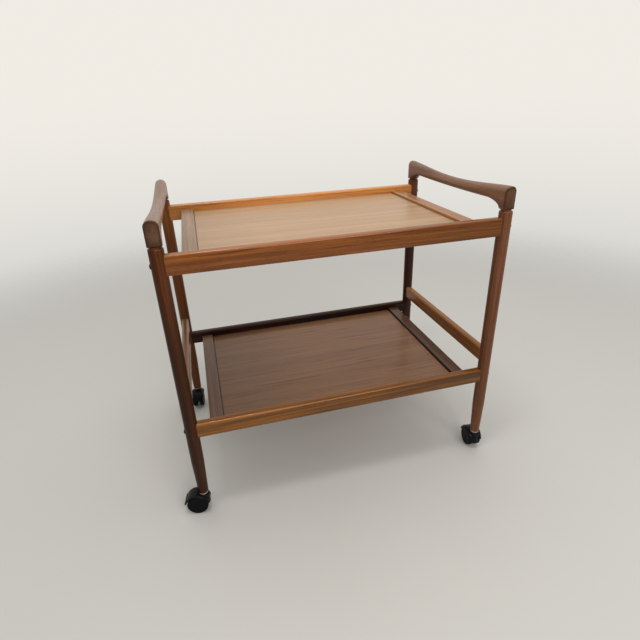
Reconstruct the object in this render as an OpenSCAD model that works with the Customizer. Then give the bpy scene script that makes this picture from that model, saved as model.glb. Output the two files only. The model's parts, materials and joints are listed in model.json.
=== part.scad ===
// Serving cart: a hardwood frame with two tray shelves, on four twin-wheel casters.
// Millimetres, +Z up, +X along the cart. The origin is on the floor, below the middle.

/* [Frame] */
// Distance between the legs' centres along the cart
leg_spacing_x = 700; // [560:10:900]
// Distance between the legs' centres across the cart
leg_spacing_y = 438; // [340:2:560]
// Height of the legs' top shoulder, just under the handles
shoulder_z = 630.5; // [615:0.5:800]

/* [Legs] */
// Diameter of a leg above its tapered foot
leg_d = 28; // [27:0.5:36]
// Diameter at the lower end of the taper
foot_d = 22.5; // [21.5:0.5:27]
// Diameter of the flat end that meets the caster socket
foot_end_d = 21; // [19:0.5:21.5]
// Height of the tapered foot
taper_h = 90; // [40:5:120]
// Rounding of the top shoulder
shoulder_round = 3; // [1:0.5:4]
// Diameter of the dark neck between leg and handle
neck_d = 21; // [18:0.5:22]
// Height of the neck
neck_h = 3; // [1:0.5:6]
// Diameter of the round tenon that holds the handle
tenon_d = 14; // [10:0.5:15]
// Length of the tenon inside the handle
tenon_len = 28; // [15:1:32]

/* [Rails] */
// Thickness of the long rails
rail_t = 19; // [17:0.5:22]
// How far the rails stand in from the legs' centre line
rail_inset = 1; // [0:0.5:2]
// Height of an upper rail
upper_rail_h = 38.5; // [36:0.5:50]
// Height of the upper rails' top edge
upper_rail_top = 617; // [500:1:622]
// Height of a lower rail
lower_rail_h = 33.5; // [31:0.5:40]
// Height of the lower rails' top edge
lower_rail_top = 245.5; // [220:0.5:256]
// Rounding of the rails' top edges
rail_round = 5; // [1:0.5:7]
// Rounding of the rails' bottom edges
rail_base_round = 2; // [0.5:0.5:4]

/* [Side stretchers] */
// Thickness of a side stretcher
stretcher_t = 18; // [16:0.5:22]
// Height of a side stretcher
stretcher_h = 34; // [28:1:44]
// Height of the stretchers' top edge
stretcher_top = 297.5; // [295:0.5:340]
// Rounding of the stretchers' top edges
stretcher_round = 6; // [1:0.5:7]

/* [Shelves] */
// Thickness of the veneered panels
panel_t = 6; // [4:0.5:8]
// Depth of a panel's top below the rails' top edge
panel_drop = 19.5; // [16:0.5:22]
// Width of the end battens
batten_w = 30; // [22:1:40]
// Height of the end battens
batten_h = 18; // [16:0.5:19]
// How far the battens stand above the panels
batten_rise = 6.5; // [2:0.5:8]
// Gap between a batten and the legs' centre line
batten_setback = 40; // [30:1:80]
// Rounding of the battens' top edges
batten_round = 2; // [0.5:0.5:4]
// Depth of the grooves that hold the panels
groove_depth = 6; // [4:0.5:8]
// Length of the battens' tenons in the rails
batten_tenon = 10; // [7:0.5:12]

/* [Handles] */
// Width of a handle at its posts
handle_w = 27; // [24:0.5:32]
// Width of a handle's bar at its middle
bar_w = 25; // [20:0.5:30]
// Size of a handle's end posts across the cart
post_depth = 22.5; // [20:0.5:26]
// Height of the handles' top above the neck, at the ends
handle_rise = 47.5; // [42:0.5:56]
// Dip of the top at the middle of a handle
handle_dip = 13; // [0:0.5:16]
// Height of the bar at its middle
bar_h = 22.5; // [18:0.5:26]
// Length of the curve between a post and the bar's underside
handle_sweep = 52; // [20:1:70]
// Rounding of the handles' outer ends
end_round = 2.5; // [1:0.5:6]
// How far the handles' outer ends bulge at their middle
end_bulge = 3.5; // [0:0.5:5]

/* [Fasteners] */
// Thread diameter of the rail bolts
bolt_d = 6; // [5:1:6]
// Diameter of a bolt's head
bolt_head_d = 10.5; // [9:0.5:11]
// Thickness of a bolt's head
bolt_head_h = 2.5; // [2:0.5:3]
// Depth of a bolt head's seat below the leg's surface
bolt_seat = 4; // [3:0.5:5]
// How far the caps stand out of the legs
cap_rise = 2.2; // [1:0.2:3.4]
// Diameter of the barrel nuts
nut_d = 10; // [9:0.5:11]
// Length of the barrel nuts
nut_len = 14; // [10:1:16]
// Distance of the barrel nuts outside the battens
nut_offset = 2; // [2:0.5:5]
// Diameter of the dowels
dowel_d = 6; // [5:0.5:7]
// Length of a dowel in each of the two pieces that it joins
dowel_half = 11; // [8:0.5:12]
// Drop from a rail bolt to the dowel below it
dowel_drop = 9.5; // [8.5:0.5:10.5]
// Distance between the two dowels of a stretcher's end
dowel_pitch = 17; // [10:1:20]

/* [Casters] */
// Radius of a wheel
wheel_r = 24; // [22:0.5:24.5]
// Width of a wheel
wheel_w = 11; // [8:0.5:14]
// Distance from the swivel axis to the axle
trail = 15.5; // [14:0.5:20]
// Height of the leg's end above the floor
caster_h = 54.5; // [54:0.5:60]
// Thickness of the plate between the two wheels
web_t = 9; // [8.5:0.5:13]
// Gap between the wheels' treads and the hood
hood_gap = 1.8; // [1:0.2:2]
// Thickness of the hood over the wheels
hood_t = 2.4; // [2:0.2:2.6]
// Diameter of the swivel housing
swivel_d = 25; // [24:0.5:28]
// Diameter of the stem
stem_d = 8; // [6:0.5:8]
// Diameter of the stem's pivot inside the caster
pivot_d = 6; // [5:0.5:6]
// Length of the stem inside the leg
stem_len = 38; // [25:1:45]
// Diameter of the axle
axle_d = 6; // [4:0.5:7]
// Outer diameter of the socket sleeve in the leg
socket_d = 11; // [10.5:0.1:12]
// Diameter of the socket's flange
flange_d = 20.5; // [16:0.5:22]
// Thickness of the socket's flange
flange_t = 3; // [1.5:0.1:3]
// Direction that each caster trails in: front left, front right, rear left, rear right
trail_angles = [170, 84, 264, 350];

/* [Clearances] */
// Gap of the glued round joints, on the radius
glue_gap = 0.1; // [0.05:0.05:0.2]
// Gap between a leg and the hollowed end of a rail
cope_gap = 0.05; // [0.02:0.01:0.1]
// Gap round a panel in its grooves
panel_gap = 0.2; // [0.1:0.1:0.4]
// Gap of the pressed metal pieces, on the radius
press_gap = 0.02; // [0.01:0.01:0.05]
// Running gap of stems and axles, on the radius
run_gap = 0.05; // [0.02:0.01:0.08]
// Gap between a turning piece and what it passes
turn_gap = 0.5; // [0.4:0.1:0.8]

/* [Hidden] */
$fn = 64;

dark_teak = "#6b3a20";
warm_teak = "#8a5228";
veneer = "#b08a62";
black_plastic = "#1a1a1c";
steel = "#9a9a98";
beech = "#c9a878";
over = 1;  // how far a cut runs past the surface it opens

leg_x = leg_spacing_x / 2;
leg_y = leg_spacing_y / 2;
leg_r = leg_d / 2;
rail_y = leg_y - rail_inset;
rail_inner_y = rail_y - rail_t / 2;
batten_x = leg_x - batten_setback - batten_w / 2;
upper_bolt_z = upper_rail_top - upper_rail_h / 2;
lower_bolt_z = lower_rail_top - lower_rail_h / 2;
stretcher_mid = stretcher_top - stretcher_h / 2;
handle_base = shoulder_z + neck_h;
post_inner = leg_y - post_depth / 2 + 2;
handle_end = leg_y + post_depth / 2;
nut_x = leg_x - batten_setback + nut_offset;
bolt_end_x = nut_x - nut_d / 2 + 1;
tenon_w = batten_w - 10;  // width of the battens' tenons
seat_x = leg_x + leg_r - bolt_seat;
cap_d = bolt_head_d + 0.6;
socket_bore_d = stem_d + 0.8;
socket_len = stem_len + 4;
key_d = 4.6;       // hexagon in the bolt heads, across its corners
key_depth = 1.6;
corner_names = ["front_left", "front_right", "rear_left", "rear_right"];
corner_x = [-1, 1, -1, 1];
corner_y = [-1, -1, 1, 1];

// ---------- placing ----------

// Puts its children at leg number i, seen from above
module at_leg(i)
    translate([corner_x[i] * leg_x, corner_y[i] * leg_y, 0]) children();

// Puts its children at leg number i, turned so that +X is the caster's trailing direction
module at_caster(i)
    at_leg(i) rotate(trail_angles[i]) children();

// Turns its children, made along +Z, to lie along X and point outwards at leg number i
module outwards(i)
    rotate([0, 90 * corner_x[i], 0]) children();

// Both bolt heights
function bolt_heights() = [upper_bolt_z, lower_bolt_z];

// ---------- wooden frame ----------

// A strip's outline, with its top edges rounded by rt and its bottom edges by rb
module strip_outline(t, h, rt, rb)
    difference() {
        translate([-t / 2, -h]) square([t, h]);
        for (side = [-1, 1]) {
            translate([side * (t / 2 - rt), -rt])
                difference() {
                    translate([side > 0 ? 0 : -rt - over, 0]) square(rt + over);
                    circle(rt);
                }
            translate([side * (t / 2 - rb), rb - h])
                difference() {
                    translate([side > 0 ? 0 : -rb - over, -rb - over]) square(rb + over);
                    circle(rb);
                }
        }
    }

// A strip that runs along X for a length, its top edge at z = 0
module strip_along_x(len, t, h, rt, rb)
    rotate([90, 0, 90]) linear_extrude(len, center = true) strip_outline(t, h, rt, rb);

// The turned outline of a leg: foot, taper, shaft, shoulder, neck and tenon
module leg_outline() {
    shoulder_arc = [for (a = [0:15:90])
        [leg_r - shoulder_round * (1 - cos(a)), shoulder_z - shoulder_round * (1 - sin(a))]];
    foot_step = (foot_d - foot_end_d) / 2;
    polygon(concat(
        [[0, caster_h], [foot_end_d / 2, caster_h]],
        [for (a = [30:30:90]) [foot_end_d / 2 + foot_step * sin(a), caster_h + 3 * foot_step * (1 - cos(a))]],
        [[leg_r, caster_h + taper_h]],
        shoulder_arc,
        [[neck_d / 2, shoulder_z], [neck_d / 2, handle_base], [tenon_d / 2, handle_base],
         [tenon_d / 2, handle_base + tenon_len - 1], [tenon_d / 2 - 1, handle_base + tenon_len],
         [0, handle_base + tenon_len]]));
}

module leg(i)
    color(dark_teak)
    difference() {
        at_leg(i) rotate_extrude() leg_outline();
        at_leg(i) {
            translate([0, 0, caster_h - over])
                cylinder(r = socket_d / 2 + press_gap, h = socket_len + over);
            for (z = bolt_heights())
                translate([0, 0, z]) outwards(i) {
                    cylinder(r = bolt_d / 2 + glue_gap, h = 2 * leg_d, center = true);
                    translate([0, 0, leg_r - bolt_seat]) cylinder(r = cap_d / 2 + glue_gap, h = leg_d);
                }
            for (z = bolt_heights())
                translate([0, -corner_y[i] * rail_inset, z - dowel_drop]) outwards(i)
                    translate([0, 0, -leg_d]) cylinder(r = dowel_d / 2 + glue_gap, h = leg_d - leg_r + dowel_half);
            for (side = [-1, 1])
                translate([0, 0, stretcher_mid + side * dowel_pitch / 2]) rotate([90 * corner_y[i], 0, 0])
                    translate([0, 0, leg_r - dowel_half - glue_gap])
                        cylinder(r = dowel_d / 2 + glue_gap, h = leg_d);
        }
    }

// A long rail: coped ends, panel groove, mortises for the battens, bolt, nut and dowel holes
module long_rail(side, top, h) {
    mid = top - h / 2;
    panel_z = top - panel_drop;
    inner = side * rail_inner_y;
    color(warm_teak)
    difference() {
        translate([0, side * rail_y, top]) strip_along_x(leg_spacing_x, rail_t, h, rail_round, rail_base_round);
        for (sx = [-1, 1]) {
            translate([sx * leg_x, side * leg_y, top - h - over]) cylinder(r = leg_r + cope_gap, h = h + 2 * over);
            translate([sx * leg_x, side * leg_y, mid]) rotate([0, -90 * sx, 0])
                cylinder(r = bolt_d / 2 + glue_gap, h = leg_x - bolt_end_x + 1);
            translate([sx * nut_x, side * leg_y, top - h - over])
                cylinder(r = nut_d / 2 + glue_gap, h = h / 2 + nut_len / 2 + over);
            translate([sx * leg_x, side * rail_y, mid - dowel_drop]) rotate([0, -90 * sx, 0])
                cylinder(r = dowel_d / 2 + glue_gap, h = leg_r + dowel_half + glue_gap);
            translate([sx * batten_x, inner, panel_z - panel_t / 2])
                cube([tenon_w + 2 * glue_gap, 2 * (batten_tenon + panel_gap), panel_t + 2 * glue_gap], center = true);
        }
        translate([0, inner, panel_z - panel_t / 2])
            cube([2 * batten_x, 2 * (groove_depth + panel_gap), panel_t + 2 * panel_gap], center = true);
    }
}

// A side stretcher between two legs, coped and doweled at both ends
module side_stretcher(side)
    color(warm_teak)
    difference() {
        translate([side * leg_x, 0, stretcher_top]) rotate(90)
            strip_along_x(leg_spacing_y, stretcher_t, stretcher_h, stretcher_round, rail_base_round);
        for (sy = [-1, 1]) translate([side * leg_x, sy * leg_y, 0]) {
            translate([0, 0, stretcher_top - stretcher_h - over])
                cylinder(r = leg_r + cope_gap, h = stretcher_h + 2 * over);
            for (dz = [-1, 1]) translate([0, 0, stretcher_mid + dz * dowel_pitch / 2]) rotate([90 * sy, 0, 0])
                cylinder(r = dowel_d / 2 + glue_gap, h = leg_r + dowel_half + glue_gap);
        }
    }

// An end batten: a strip across the shelf with a tenon at each end and a groove for the panel
module batten(side, rail_top) {
    panel_z = rail_top - panel_drop;
    color(warm_teak)
    difference() {
        union() {
            translate([side * batten_x, 0, panel_z + batten_rise]) rotate(90)
                strip_along_x(2 * rail_inner_y, batten_w, batten_h, batten_round, batten_round / 2);
            translate([side * batten_x, 0, panel_z - panel_t / 2])
                cube([tenon_w, 2 * (rail_inner_y + batten_tenon), panel_t], center = true);
        }
        translate([side * (batten_x - batten_w / 2), 0, panel_z - panel_t / 2])
            cube([2 * (groove_depth + panel_gap), 2 * (rail_inner_y + batten_tenon + over),
                  panel_t + 2 * panel_gap], center = true);
    }
}

// A veneered panel, its edges in the grooves of rails and battens
module panel(rail_top)
    color(veneer)
    translate([0, 0, rail_top - panel_drop - panel_t / 2])
        cube([2 * (batten_x - batten_w / 2 + groove_depth), 2 * (rail_inner_y + groove_depth), panel_t],
             center = true);

// ---------- handles ----------

// How much the handle is drawn in at y by the rounding of its outer ends
function end_inset(y) =
    let (past = max(abs(y) - handle_end + end_round, 0))
    end_round - sqrt(max(pow(end_round, 2) - pow(past, 2), 0));

// How far a place is along the sweep: 0 in the bar, 1 where the post's underside starts
function sweep_share(y) = min(max(1 - (post_inner - abs(y)) / handle_sweep, 0), 1);

// Half width of the handle at y: a little slimmer in the bar, rounded off at the outer faces
function handle_half_w(y) =
    (handle_w - (handle_w - bar_w) * cos(90 * min(abs(y) / leg_y, 1))) / 2 - end_inset(y);

// Height of the top at y: a saddle between the ends, rounded over at the outer faces
function handle_top(y) =
    handle_base + handle_rise - handle_dip * pow(cos(90 * min(abs(y) / leg_y, 1)), 1.2)
        - end_inset(y);

// Height of the underside at y: flat under the posts, swept up into the bar
function handle_under(y) =
    let (t = min(abs(y) / leg_y, 1),
         bar_lift = handle_rise - handle_dip - bar_h + 0.3 * handle_dip * (1 - cos(90 * t)),
         sweep = pow(1 - pow(sweep_share(y), 1.7), 1 / 1.7))
    handle_base + bar_lift * sweep + end_inset(y) / 2;

// Rounding of the handle's lower corners at y: full along the bar, crisp under the leg's centre
function lower_corner(y) =
    let (inside = min(max((leg_y - abs(y)) / (leg_y - post_inner), 0), 1))
    1.5 + (7.5 - 2.5 * sweep_share(y)) * pow(inside, 2);

// A point of a ring, set back from the bulging outer end by the square of its distance from the middle
function ring_point(x, y, z, w) =
    let (outside = min(max((abs(y) - leg_y) / (handle_end - leg_y), 0), 1))
    [x, y - sign(y) * end_bulge * outside * pow(x / w, 2), z];

// One ring of points round the handle at y: a half-round top and a base with rounded corners
function handle_ring(y, sides) =
    let (top = handle_top(y), under = handle_under(y), w = handle_half_w(y),
         crown = min(0.95 * w, 0.55 * (top - under)),
         corner = min(lower_corner(y), w))
    [for (k = [0:sides - 1])
        let (a = 360 * k / sides, c = cos(a), s = sin(a))
        s >= -0.0001 ? ring_point(w * c, y, top - crown + crown * s, w)
                     : ring_point(sign(c) * (w - corner) + corner * c, y, under + corner + corner * s, w)];

// Places of the rings along the handle, closer together where the shape turns
handle_half = [for (t = [0:0.125:1]) (post_inner - handle_sweep) * t];
sweep_half = [for (t = [0.1:0.1:1]) post_inner - handle_sweep * pow(1 - t, 1.6)];
post_half = [for (t = [0.35, 0.7, 1]) post_inner + (leg_y - post_inner) * t];
end_half = [for (t = [0:18:90]) handle_end - end_round * (1 - sin(t))];
half_places = concat(handle_half, sweep_half, post_half, end_half);
ring_places = concat([for (k = [len(half_places) - 1:-1:1]) -half_places[k]], half_places);

module handle_body() {
    sides = 32;
    n = len(ring_places);
    mid_z = (handle_top(handle_end) + handle_under(handle_end)) / 2;
    points = concat([for (y = ring_places) each handle_ring(y, sides)],
                    [[0, -handle_end, mid_z], [0, handle_end, mid_z]]);
    first = n * sides;
    skin = [for (r = [0:n - 2]) for (k = [0:sides - 1])
        let (a = r * sides + k, b = r * sides + (k + 1) % sides)
        each [[a, b, b + sides], [a, b + sides, a + sides]]];
    ends = [for (k = [0:sides - 1])
        let (next = (k + 1) % sides)
        each [[first, next, k], [first + 1, (n - 1) * sides + k, (n - 1) * sides + next]]];
    polyhedron(points, concat(skin, ends));
}

module handle(side)
    color(dark_teak)
    difference() {
        translate([side * leg_x, 0, 0]) handle_body();
        for (sy = [-1, 1])
            translate([side * leg_x, sy * leg_y, handle_base - over])
                cylinder(r = tenon_d / 2 + glue_gap, h = tenon_len + glue_gap + over);
    }

// ---------- fasteners ----------

// Runs its children at both ends of all four rails, with +Z pointing out of the leg
module at_rail_ends(drop = 0, inset = 0)
    for (i = [0:3]) for (z = bolt_heights())
        translate([0, 0, z - drop]) at_leg(i) translate([0, -corner_y[i] * inset, 0]) outwards(i) children();

module rail_bolts()
    color(steel)
    at_rail_ends()
        difference() {
            union() {
                translate([0, 0, bolt_end_x - leg_x]) cylinder(d = bolt_d, h = seat_x - bolt_end_x);
                translate([0, 0, seat_x - leg_x]) cylinder(d = bolt_head_d, h = bolt_head_h);
            }
            translate([0, 0, seat_x - leg_x + bolt_head_h - key_depth])
                cylinder(d = key_d, h = key_depth + over, $fn = 6);
        }

// Push-in caps: a hexagonal peg for the bolt's key and a shallow dome
module bolt_caps() {
    foot = seat_x - leg_x + bolt_head_h;
    dome = leg_r + cap_rise;
    dome_h = 2.4;
    dome_r = (pow(cap_d / 2, 2) + dome_h * dome_h) / (2 * dome_h);
    color(black_plastic)
    at_rail_ends() {
        translate([0, 0, foot - key_depth + 0.2]) cylinder(d = key_d - 0.3, h = key_depth, $fn = 6);
        intersection() {
            translate([0, 0, foot]) cylinder(d = cap_d, h = dome - foot);
            translate([0, 0, dome - dome_r]) sphere(dome_r);
        }
    }
}

module barrel_nuts()
    color(steel)
    for (i = [0:3]) for (z = bolt_heights())
        translate([corner_x[i] * nut_x, corner_y[i] * leg_y, z]) difference() {
            cylinder(d = nut_d, h = nut_len, center = true);
            rotate([0, 90, 0]) cylinder(r = bolt_d / 2 + press_gap, h = nut_d + over, center = true);
            translate([0, 0, -nut_len / 2]) cube([nut_d + over, 1.4, 2.4], center = true);
        }

module rail_dowels()
    color(beech)
    at_rail_ends(dowel_drop, rail_inset)
        translate([0, 0, -leg_r - dowel_half]) cylinder(d = dowel_d, h = 2 * dowel_half - glue_gap);

module stretcher_dowels()
    color(beech)
    for (i = [0:3]) for (dz = [-1, 1])
        at_leg(i) translate([0, 0, stretcher_mid + dz * dowel_pitch / 2]) rotate([90 * corner_y[i], 0, 0])
            translate([0, 0, leg_r - dowel_half]) cylinder(d = dowel_d, h = 2 * dowel_half);

// ---------- casters, each made with its swivel axis at the origin and trailing along +X ----------

stem_foot = wheel_r + 3;
stem_top = caster_h + stem_len;
collar_h = 1.2;
flange_under = caster_h - flange_t;
housing_top = flange_under - collar_h - turn_gap / 2;
ring_z = stem_top - 7;
ring_h = 3;
hood_r = wheel_r + hood_gap + hood_t;
hood_w = web_t + 2 * (wheel_w + turn_gap) + 2;
wheel_side = web_t / 2 + turn_gap;

// The stamped sleeve in the leg's end, with the pale flange under it
module socket(i)
    color(steel)
    at_leg(i) difference() {
        union() {
            translate([0, 0, flange_under]) cylinder(d = flange_d, h = flange_t);
            translate([0, 0, flange_under]) cylinder(d = socket_d, h = flange_t + socket_len - 0.5);
        }
        translate([0, 0, flange_under - over]) cylinder(d = socket_bore_d, h = socket_len + flange_t);
    }

// The stem: a steel pin with a collar under the socket and a groove for its grip ring
module stem(i)
    color(steel)
    at_leg(i) difference() {
        union() {
            translate([0, 0, stem_foot]) cylinder(d = pivot_d, h = flange_under - stem_foot);
            translate([0, 0, flange_under - collar_h]) cylinder(d = stem_d, h = stem_top - 1 - flange_under + collar_h);
            translate([0, 0, stem_top - 1]) cylinder(d1 = stem_d, d2 = stem_d - 2, h = 1);
            translate([0, 0, flange_under - collar_h]) cylinder(d = stem_d + 4, h = collar_h);
        }
        translate([0, 0, ring_z]) difference() {
            cylinder(d = stem_d + over, h = ring_h);
            translate([0, 0, -over]) cylinder(d = stem_d - 1.2, h = ring_h + 2 * over);
        }
    }

// Split spring rings that hold the stems in their sockets
module grip_rings()
    color(steel)
    for (i = [0:3])
        at_leg(i) translate([0, 0, ring_z + 0.1]) difference() {
            cylinder(d = socket_bore_d - 2 * press_gap, h = ring_h - 0.2);
            translate([0, 0, -over]) cylinder(d = stem_d - 1, h = ring_h + 2 * over);
            translate([0, -0.6, -over]) cube([socket_bore_d, 1.2, ring_h + 2 * over]);
        }

// Lays its children, made along +Z, along the axle
module on_axle()
    translate([trail, 0, wheel_r]) rotate([-90, 0, 0]) children();

// Half of the hood's outline: axial distance along Y, radius along X, with a rounded shoulder
module hood_outline() {
    shoulder = 4;
    half = hood_w / 2;
    translate([0, -half + shoulder]) square([hood_r, hood_w - 2 * shoulder]);
    translate([0, -half]) square([hood_r - shoulder, hood_w]);
    for (side = [-1, 1])
        translate([hood_r - shoulder, side * (half - shoulder)]) circle(shoulder);
}

module caster_housing(i)
    color(black_plastic)
    at_caster(i) difference() {
        union() {
            difference() {
                on_axle() rotate_extrude() hood_outline();
                // everything below the axle's height goes, except the middle plate
                translate([-2 * hood_r + trail, -hood_w, -hood_r]) cube([4 * hood_r, 2 * hood_w, wheel_r + hood_r + 6]);
            }
            on_axle() cylinder(r = 13, h = web_t, center = true);
            translate([trail, 0, wheel_r + 4]) cube([2 * 13, web_t, 14], center = true);
            // brim: a thin lip that flares out from the hood's trailing end
            translate([trail, 0, wheel_r]) rotate([90, 0, 0])
                linear_extrude(hood_w - 7, center = true)
                    polygon([[wheel_r + hood_gap - 1, 10], [hood_r - 1, 12], [hood_r + 1.8, 4.2], [hood_r + 0.6, 3.4],
                             [wheel_r + hood_gap - 0.2, 7]]);
            // swivel housing round the stem
            translate([0, 0, wheel_r - 2]) cylinder(d = swivel_d, h = housing_top - wheel_r - 1);
            translate([0, 0, housing_top - 3]) cylinder(d1 = swivel_d, d2 = swivel_d - 8, h = 3);
        }
        // room for the wheels
        for (side = [-1, 1])
            on_axle() translate([0, 0, side * (web_t / 2 + hood_w)])
                cylinder(r = wheel_r + hood_gap, h = 2 * hood_w, center = true);
        // room for the socket's flange and the leg above the swivel housing
        translate([0, 0, housing_top]) cylinder(r = foot_d / 2 + 2 * turn_gap, h = hood_r);
        translate([0, 0, stem_foot - turn_gap]) cylinder(r = pivot_d / 2 + run_gap, h = caster_h);
        on_axle() cylinder(r = axle_d / 2 + press_gap, h = 2 * web_t, center = true);
    }

module axle(i)
    color(steel)
    at_caster(i) on_axle() cylinder(d = axle_d, h = 2 * (wheel_side + wheel_w - 3), center = true);

// A wheel's outline: radius along X, distance out from its inner face along Y
module wheel_outline() {
    rim = 4;
    hub_r = axle_d / 2 + 3.5;
    edge = 2.5;
    difference() {
        union() {
            square([wheel_r - edge, wheel_w]);
            square([wheel_r, wheel_w - edge]);
            translate([wheel_r - edge, wheel_w - edge]) circle(edge);
        }
        translate([-over, -over]) square([axle_d / 2 + run_gap + over, wheel_w - 2.5 + over]);
        translate([hub_r, -over]) square([wheel_r - rim - hub_r, wheel_w - 3.5 + over]);
        translate([hub_r, wheel_w - 0.8]) square([wheel_r - 1.3 * rim - hub_r, over]);
    }
}

// A wheel on the side of the caster that side names: 1 is the left one, seen along the trail
module wheel(i, side)
    color(black_plastic)
    at_caster(i) on_axle() mirror([0, 0, side < 0 ? 1 : 0])
        translate([0, 0, wheel_side]) rotate_extrude() wheel_outline();

// ---------- nodes ----------

for (i = [0:3]) {
    corner = corner_names[i];
    leg(i);
    socket(i);
    stem(i);
    caster_housing(i);
    axle(i);
    wheel(i, 1);
    wheel(i, -1);
}
handle(-1);  // handle_left
handle(1);  // handle_right
long_rail(-1, upper_rail_top, upper_rail_h);  // upper_rail_front
long_rail(1, upper_rail_top, upper_rail_h);  // upper_rail_rear
long_rail(-1, lower_rail_top, lower_rail_h);  // lower_rail_front
long_rail(1, lower_rail_top, lower_rail_h);  // lower_rail_rear
side_stretcher(-1);  // side_stretcher_left
side_stretcher(1);  // side_stretcher_right
batten(-1, upper_rail_top);  // upper_batten_left
batten(1, upper_rail_top);  // upper_batten_right
batten(-1, lower_rail_top);  // lower_batten_left
batten(1, lower_rail_top);  // lower_batten_right
panel(upper_rail_top);  // upper_panel
panel(lower_rail_top);  // lower_panel
rail_bolts();
bolt_caps();
barrel_nuts();
rail_dowels();
stretcher_dowels();
grip_rings();
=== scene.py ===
"""A wooden serving cart on twin-wheel casters: its looks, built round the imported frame.

The sections follow the cart as it is put together: legs, rails, stretchers, battens and
panels, handles, fasteners, casters, and then the floor, the light and the camera.
Everything is in metres, in the frame's own axes.
"""

import json
import math

import bmesh
import bpy
import numpy as np
from mathutils import Matrix, Vector


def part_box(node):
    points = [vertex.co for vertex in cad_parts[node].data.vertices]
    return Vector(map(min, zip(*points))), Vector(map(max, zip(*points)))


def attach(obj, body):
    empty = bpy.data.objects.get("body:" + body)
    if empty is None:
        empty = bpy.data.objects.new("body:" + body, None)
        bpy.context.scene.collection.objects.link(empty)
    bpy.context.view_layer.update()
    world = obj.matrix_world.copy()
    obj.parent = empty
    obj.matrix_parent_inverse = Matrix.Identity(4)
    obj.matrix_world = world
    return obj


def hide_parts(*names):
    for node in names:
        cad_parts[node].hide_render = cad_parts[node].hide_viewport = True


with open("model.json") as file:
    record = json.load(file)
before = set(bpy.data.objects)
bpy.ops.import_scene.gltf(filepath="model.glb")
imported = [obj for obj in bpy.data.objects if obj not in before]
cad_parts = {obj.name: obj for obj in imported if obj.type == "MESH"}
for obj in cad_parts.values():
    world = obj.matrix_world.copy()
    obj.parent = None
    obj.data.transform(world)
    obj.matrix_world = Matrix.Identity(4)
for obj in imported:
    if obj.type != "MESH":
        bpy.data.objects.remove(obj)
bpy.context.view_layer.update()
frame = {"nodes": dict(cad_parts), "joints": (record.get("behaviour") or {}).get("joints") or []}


# ---------------------------------------------------------------- legs
# Four turned legs of oiled and lacquered teak: a straight shaft, a tapered foot, a rounded
# shoulder, and a narrow neck that leaves a dark line under the handle. They are dark reddish
# brown with the grain running up the leg.

CORNERS = ("front_left", "front_right", "rear_left", "rear_right")
LEG_FOOT_R = 0.01125
LEG_END_R = 0.0105
LEG_TAPER = 0.090
LEG_SHOULDER = 0.003
LEG_NECK_R = 0.0105
LEG_NECK_H = 0.003
LEG_TENON_R = 0.007
CRISP_ANGLE = math.radians(38)


def middle(node):
    """The middle of a frame node's box."""
    low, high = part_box(node)
    return (low + high) / 2


def eased(corners, radii, steps=6):
    """Rounds an outline's corners. At a corner of radius r, whose sides open by the angle w, the
    line leaves its side r / tan(w / 2) before the corner and follows an arc about the point
    r / sin(w / 2) along the corner's bisector."""
    corners = np.asarray(corners, float)
    line = []
    for k, radius in enumerate(radii):
        point = corners[k]
        if radius == 0 or k in (0, len(corners) - 1):
            line.append(point[None])
            continue
        back = corners[k - 1] - point
        on = corners[k + 1] - point
        back /= np.linalg.norm(back)
        on /= np.linalg.norm(on)
        half = math.acos(np.clip(back @ on, -1, 1)) / 2
        bisector = (back + on) / np.linalg.norm(back + on)
        centre = point + bisector * radius / math.sin(half)
        start = point + back * radius / math.tan(half) - centre
        end = point + on * radius / math.tan(half) - centre
        turn = math.pi - 2 * half
        share = np.linspace(0, 1, steps + 1)[:, None]
        arc = (np.sin((1 - share) * turn) * start + np.sin(share * turn) * end) / math.sin(turn)
        line.append(centre + arc)
    return np.concatenate(line)


def turned(outline, centre, around=64, axis=(0, 0, 1)):
    """Turns an outline of (radius, height) points about an axis through centre: a grid with one
    row for each point and one column for each angle, where a point is
    centre + radius (cos a, sin a) across the axis + height along it."""
    angle = np.linspace(0, 2 * np.pi, around, endpoint=False)
    radius, height = np.asarray(outline, float).T
    flat = np.stack(
        [
            radius[:, None] * np.cos(angle),
            radius[:, None] * np.sin(angle),
            np.repeat(height[:, None], around, axis=1),
        ],
        axis=-1,
    )
    turn = np.array(Vector((0, 0, 1)).rotation_difference(Vector(axis)).to_matrix())
    return flat @ turn.T + np.array(centre)


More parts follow.
